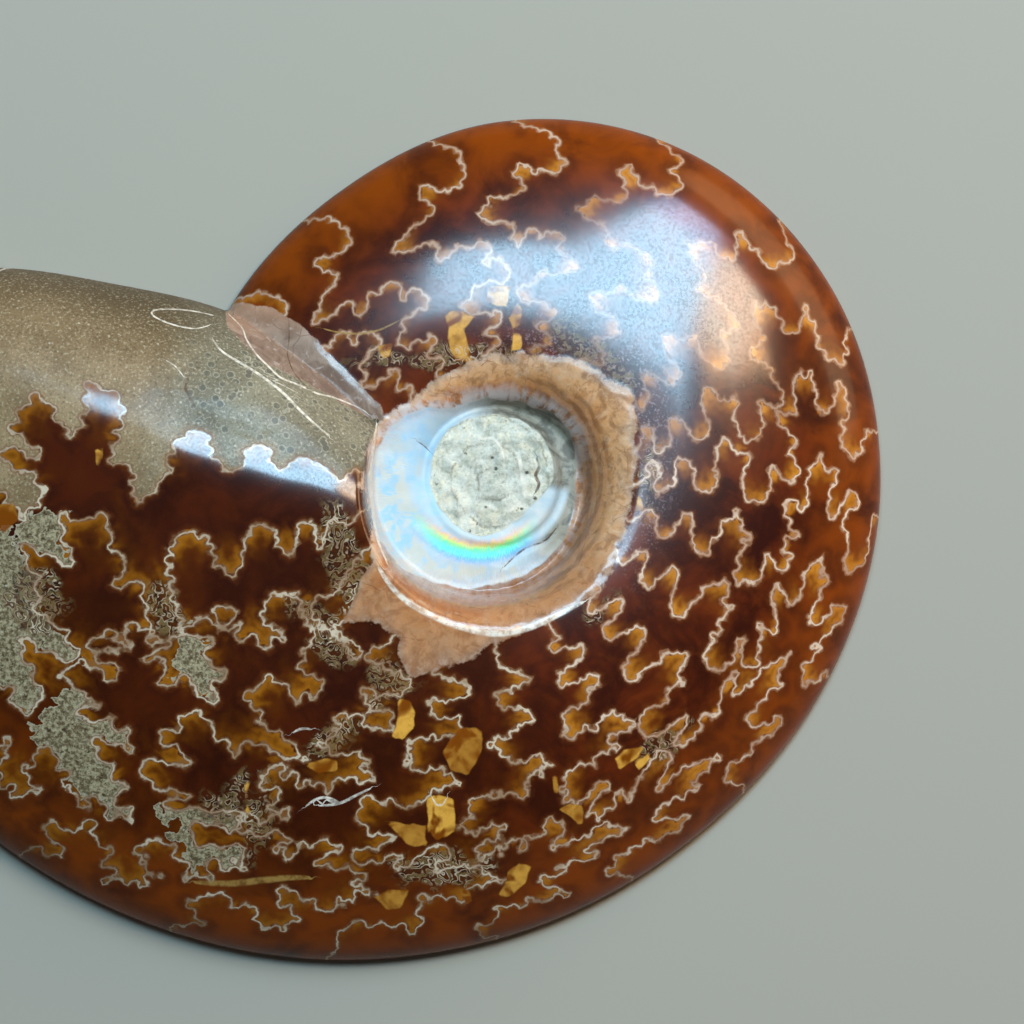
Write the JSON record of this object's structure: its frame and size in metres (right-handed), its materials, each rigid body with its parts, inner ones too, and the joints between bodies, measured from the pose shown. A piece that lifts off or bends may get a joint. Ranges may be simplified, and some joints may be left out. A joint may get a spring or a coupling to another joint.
{
  "type": "ammonite fossil half",
  "caption": "Polished half of a coiled ammonite fossil, flat cut face below and domed outside up, with a sunken navel and a rounded, stone-filled last chamber.",
  "frame": {"origin": "middle of the navel, on the cut face", "axes": "+Z out of the cut face through the domed outside, -X towards the mouth end, +Y towards the oldest part of the last turn"},
  "size_m": [0.0925, 0.0702, 0.0125],
  "materials": {
    "fossil_stone": "polished"
  },
  "bodies": {
    "root": {"ammonite_half": "fossil_stone"}
  },
  "joints": []
}
